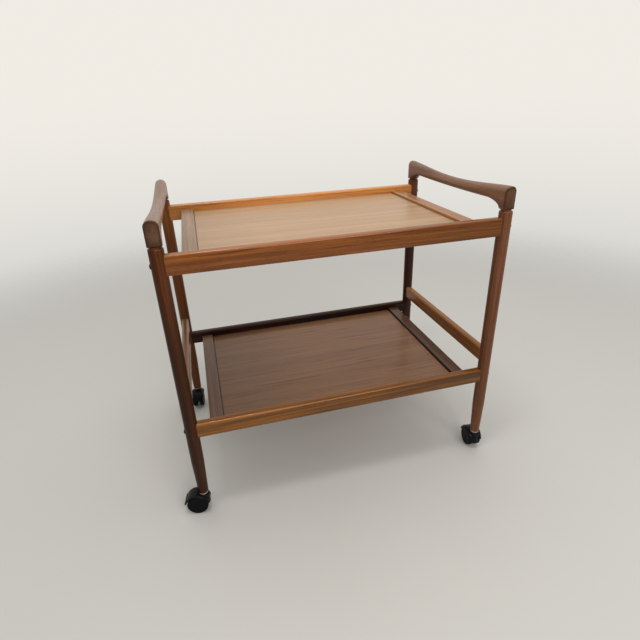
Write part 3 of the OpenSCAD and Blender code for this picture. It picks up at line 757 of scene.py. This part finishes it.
def arched_hood(wheel_r, half_width, first, last, steps=72):
    """The hood in its own axes, its axle along Y through the origin: a section is carried round
    the axle from the first angle to the last, in degrees. The section is a band whose outer side
    bends down at its shoulders by r - sqrt(r^2 - d^2)."""
    inner = wheel_r + HOOD_GAP
    outer = inner + HOOD_T
    turn = np.radians(np.arange(0, 91, 15))
    shoulder = half_width - HOOD_SHOULDER + HOOD_SHOULDER * np.sin(turn)
    across = np.concatenate([-shoulder[::-1], [0], shoulder])
    past = np.clip(np.abs(across) - half_width + HOOD_SHOULDER, 0, HOOD_SHOULDER)
    drop = HOOD_SHOULDER - np.sqrt(np.maximum(HOOD_SHOULDER**2 - past**2, 0))
    outside = np.stack([outer - np.minimum(drop, HOOD_T - HOOD_SKIN), across], axis=-1)
    inside = np.stack([np.full(len(across), inner), across * (1 - 0.012)], axis=-1)[::-1]
    section = np.concatenate([outside, inside])
    heart = section.mean(axis=0)
    closing = np.array([0.0, 0.6, 1.0])
    angle = np.radians(np.linspace(first, last, steps))
    angles = np.concatenate([np.full(2, angle[0]), angle, np.full(2, angle[-1])])
    scale = np.concatenate([closing[:2], np.ones(steps), closing[1::-1]])
    ring = heart + (section - heart) * scale[:, None, None]
    forward = ring[..., 0] * np.cos(angles)[:, None]
    upward = ring[..., 0] * np.sin(angles)[:, None]
    return np.stack([forward, ring[..., 1], upward], axis=-1)


def brim_lip(wheel_r, half_width, steps=24):
    """The brim: a thin plate that leaves the hood's trailing end and flares outwards, given as a
    closed outline in the plane of the wheel and carried along the axle, with eased ends."""
    outer = wheel_r + HOOD_GAP + HOOD_T
    line = eased(
        [(outer - 0.0010, 0.0125), (outer + 0.0018, 0.0042), (outer + 0.0006, 0.0034),
         (outer - HOOD_T, 0.0075), (outer - HOOD_T, 0.0125)],
        [0, 0.0005, 0.0005, 0.001, 0], steps=3)
    heart = line.mean(axis=0)
    span = half_width - BRIM_INSET
    y = np.concatenate([[-span, -span], np.linspace(-span + 0.0005, span - 0.0005, steps), [span, span]])
    scale = np.concatenate([[0.0, 0.8], np.ones(steps), [0.8, 0.0]])
    ring = heart + (line - heart) * scale[:, None, None]
    return np.stack([ring[..., 0], np.repeat(y[:, None], len(line), axis=1), ring[..., 1]], axis=-1)


black_nylon = speckled("black_nylon", (0.004, 0.004, 0.005), 0.30, 0.3, scale=1500.0, relief=0.00004,
                       specular=0.13)
joints = {joint["name"]: joint for joint in frame["joints"]}
for corner in CORNERS:
    swivel = Vector(joints["swivel_" + corner]["pos_m"])
    axle = Vector(joints["left_wheel_spin_" + corner]["pos_m"])
    axle_way = Vector(joints["left_wheel_spin_" + corner]["axis"])
    trail_way = Vector((axle.x - swivel.x, axle.y - swivel.y, 0)).normalized()
    trail = (axle.xy - swivel.xy).length
    wheel_r = axle.z
    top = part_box("socket_" + corner)[0].z - FLANGE_GAP
    hood = arched_hood(wheel_r, HOOD_HALF_W, *HOOD_ARC)
    brim = brim_lip(wheel_r, HOOD_HALF_W)
    plate = turned(eased([(0, -WEB_T / 2), (WEB_R, -WEB_T / 2), (WEB_R, WEB_T / 2), (0, WEB_T / 2)],
                         [0, 0.0008, 0.0008, 0]), (0, 0, 0), 48, (0, 1, 0))
    foot, head = NECK_Z
    neck = turned(eased([(0, foot), (WEB_R, foot), (WEB_R, head), (0, head)], [0, 0.0005, 0.0005, 0]),
                  (0, 0, 0), 48)
    neck[..., 1] *= WEB_T / 2 / WEB_R
    barrel = turned(
        eased([(0, wheel_r - 0.002), (BARREL_R, wheel_r - 0.002), (BARREL_R, top - 0.003),
               (BARREL_R - BARREL_BEVEL, top), (0, top)], [0, 0.0012, 0.0015, 0.0006, 0]),
        (-trail, 0, -wheel_r), 64)
    grids = []
    for grid in (hood, brim, plate, neck, barrel):
        placed = grid[..., 0, None] * np.array(trail_way) + grid[..., 1, None] * np.array(axle_way)
        placed = placed + grid[..., 2, None] * np.array((0, 0, 1)) + np.array(axle)
        away = np.hypot(placed[..., 0] - swivel.x, placed[..., 1] - swivel.y)
        dish = top + np.clip(away - FOOT_CLEAR, 0, None) * DISH_SLOPE
        placed[..., 2] = np.minimum(placed[..., 2], dish)
        grids.append(placed)
    build_piece("caster_hood_" + corner, grids, black_nylon, "caster_" + corner,
                ["caster_housing_" + corner])


# ---------------------------------------------------------------- casters: wheels
# Eight wheels of hard black nylon. The tread is plain with rounded edges and a little dusty, the
# outer face has a raised rim, a shallow dish and a round boss, and the back is hollow round the
# hub that runs on the axle.

WHEEL_W = 0.011
WHEEL_GAP = 0.0005
WHEEL_EDGE = 0.0025
WHEEL_WALL = 0.0035
TREAD_T = 0.004
RIM_STEP = 0.0008
HUB_R = 0.0065
BORE_R = 0.00305
BORE_END = 0.0025
BOSS_DROP = 0.0001


def wheel_outline(radius, width):
    """A wheel's outline from the blind end of its bore, round its back, tread and outer face, to
    its middle: (radius, distance out from the back)."""
    dish = width - RIM_STEP
    wall = width - WHEEL_WALL
    blind = width - BORE_END
    boss = width - BOSS_DROP
    inside = radius - TREAD_T
    corners = [
        (0, blind), (BORE_R, blind), (BORE_R, 0), (HUB_R, 0), (HUB_R, wall), (inside, wall), (inside, 0),
        (radius, 0), (radius, width), (inside - 0.0006, width), (inside - 0.0014, dish),
        (HUB_R + RIM_STEP, dish), (HUB_R, boss), (0, boss),
    ]
    radii = [0, 0, 0.0003, 0.0005, 0.0008, 0.0008, 0.0004, 0.0008, WHEEL_EDGE, 0.0004, 0.0005, 0.0005,
             0.0004, 0]
    return eased(corners, radii, steps=5)


wheel_nylon = speckled("wheel_nylon", (0.003, 0.003, 0.004), 0.38, 0.35, scale=1300.0, relief=0.00005,
                       specular=0.08)
for corner in CORNERS:
    for side in SIDES:
        node = f"{side}_wheel_{corner}"
        joint = joints[f"{side}_wheel_spin_{corner}"]
        hub = Vector(joint["pos_m"])
        out = Vector(joint["axis"]) * (1 if side == "left" else -1)
        back = WEB_T / 2 + WHEEL_GAP
        outline = wheel_outline(hub.z, WHEEL_W)
        grid = turned(outline, hub + out * back, 96, out)
        build_piece(f"nylon_{node}", [grid], wheel_nylon, node, [node])


# ---------------------------------------------------------------- floor, light and camera
# A plain pale floor under soft studio light from above and in front, with the camera a little
# above the handles, in front of the cart's left half, looking down on it.

FLOOR_R = 3.0
FLOOR_FADE = (1.3, 2.6)

rim_angle = np.linspace(0, 2 * np.pi, 96, endpoint=False)
rim = np.stack([FLOOR_R * np.cos(rim_angle), FLOOR_R * np.sin(rim_angle), 0 * rim_angle], axis=-1)
floor_mesh = bpy.data.meshes.new("pale_floor")
floor_mesh.from_pydata(rim.tolist(), [], [tuple(range(len(rim)))])
floor = bpy.data.objects.new("pale_floor", floor_mesh)
bpy.context.scene.collection.objects.link(floor)


def floor_paint():
    """A matt pale paint whose cover thins out with the distance from the cart."""
    material = speckled("floor_paint", (0.60, 0.60, 0.585), 0.6, 0.03, scale=30.0)
    add, link = joiner(material.node_tree)
    place = add("ShaderNodeTexCoord")
    away = add("ShaderNodeVectorMath", {0: place.outputs["Object"]}, operation="LENGTH")
    cover = add("ShaderNodeMapRange", {"Value": away.outputs["Value"], "From Min": FLOOR_FADE[0],
                                       "From Max": FLOOR_FADE[1], "To Min": 1.0, "To Max": 0.0},
                interpolation_type="SMOOTHSTEP")
    link(cover.outputs["Result"], material.node_tree.nodes["Principled BSDF"].inputs["Alpha"])
    return material


floor_mesh.materials.append(floor_paint())


def studio_world():
    """Soft light by direction: brightest overhead, behind and on the right, dim in front and on
    the left. What is seen behind the floor is an even warm off-white that greys downwards."""
    world = bpy.data.worlds.new("studio")
    world.use_nodes = True
    tree = world.node_tree
    add, link = joiner(tree)
    lit = tree.nodes["Background"]
    seen = add("ShaderNodeBackground", {"Strength": 1.0})
    direction = add("ShaderNodeTexCoord").outputs["Generated"]

    def graded(way, low, high, dim, bright, target):
        part = add("ShaderNodeVectorMath", {0: direction, 1: way}, operation="DOT_PRODUCT")
        share = add("ShaderNodeMapRange", {"Value": part.outputs["Value"], "From Min": low, "From Max": high},
                    interpolation_type="SMOOTHSTEP")
        tone = add("ShaderNodeMix", data_type="RGBA")
        link(share.outputs["Result"], tone.inputs[0])
        tone.inputs[6].default_value = (*dim, 1)
        tone.inputs[7].default_value = (*bright, 1)
        link(tone.outputs[2], target)

    graded((0.28, 0.55, 0.79), -0.35, 0.85, (0.34, 0.33, 0.31), (0.80, 0.78, 0.74), lit.inputs["Color"])
    graded((0, 0, 1), -0.50, 0.02, (0.58, 0.58, 0.565), (0.87, 0.84, 0.78), seen.inputs["Color"])
    mixed = add("ShaderNodeMixShader")
    link(add("ShaderNodeLightPath").outputs["Is Camera Ray"], mixed.inputs[0])
    link(lit.outputs[0], mixed.inputs[1])
    link(seen.outputs[0], mixed.inputs[2])
    link(mixed.outputs[0], tree.nodes["World Output"].inputs["Surface"])
    return world


bpy.context.scene.world = studio_world()


def softbox(name, place, aim, size, power, tint=(1, 1, 1)):
    """A square soft light at a place, turned to face a point."""
    data = bpy.data.lights.new(name, "AREA")
    data.shape = "SQUARE"
    data.size = size
    data.energy = power
    data.color = tint
    lamp = bpy.data.objects.new(name, data)
    lamp.location = place
    lamp.rotation_mode = "QUATERNION"
    lamp.rotation_quaternion = (Vector(aim) - Vector(place)).to_track_quat("-Z", "Y")
    lamp.visible_camera = False
    bpy.context.scene.collection.objects.link(lamp)
    return lamp


softbox("ceiling_light", (0.2, 0.0, 2.7), (0, 0, 0.4), 1.8, 6, (1.0, 0.97, 0.92))
softbox("lamp_light", (-0.25, -0.45, 2.4), (0, 0, 0.5), 0.35, 8, (1.0, 0.95, 0.88))
softbox("window_light", (0.5, -2.2, 1.7), (0, 0, 0.4), 1.2, 20, (1.0, 0.97, 0.92))

CAMERA_PLACE = (-0.26919, -1.04047, 0.8596)
CAMERA_TURN = math.radians(-14.372)
CAMERA_DOWN = math.radians(26.163)
CAMERA_ROLL = math.radians(-2.1945)
CAMERA_LENS = 25.744
SENSOR_W = 36

camera_data = bpy.data.cameras.new("camera")
camera_data.lens = CAMERA_LENS
camera_data.sensor_width = SENSOR_W
camera = bpy.data.objects.new("camera", camera_data)
bpy.context.scene.collection.objects.link(camera)
ahead = Vector((-math.sin(CAMERA_TURN) * math.cos(CAMERA_DOWN),
                math.cos(CAMERA_TURN) * math.cos(CAMERA_DOWN), -math.sin(CAMERA_DOWN)))
level_right = Vector((math.cos(CAMERA_TURN), math.sin(CAMERA_TURN), 0))
level_up = level_right.cross(ahead)
right = level_right * math.cos(CAMERA_ROLL) + level_up * math.sin(CAMERA_ROLL)
up = level_up * math.cos(CAMERA_ROLL) - level_right * math.sin(CAMERA_ROLL)
camera.matrix_world = Matrix.Translation(CAMERA_PLACE) @ Matrix((right, up, -ahead)).transposed().to_4x4()
bpy.context.scene.camera = camera
bpy.context.scene.view_settings.view_transform = "Standard"
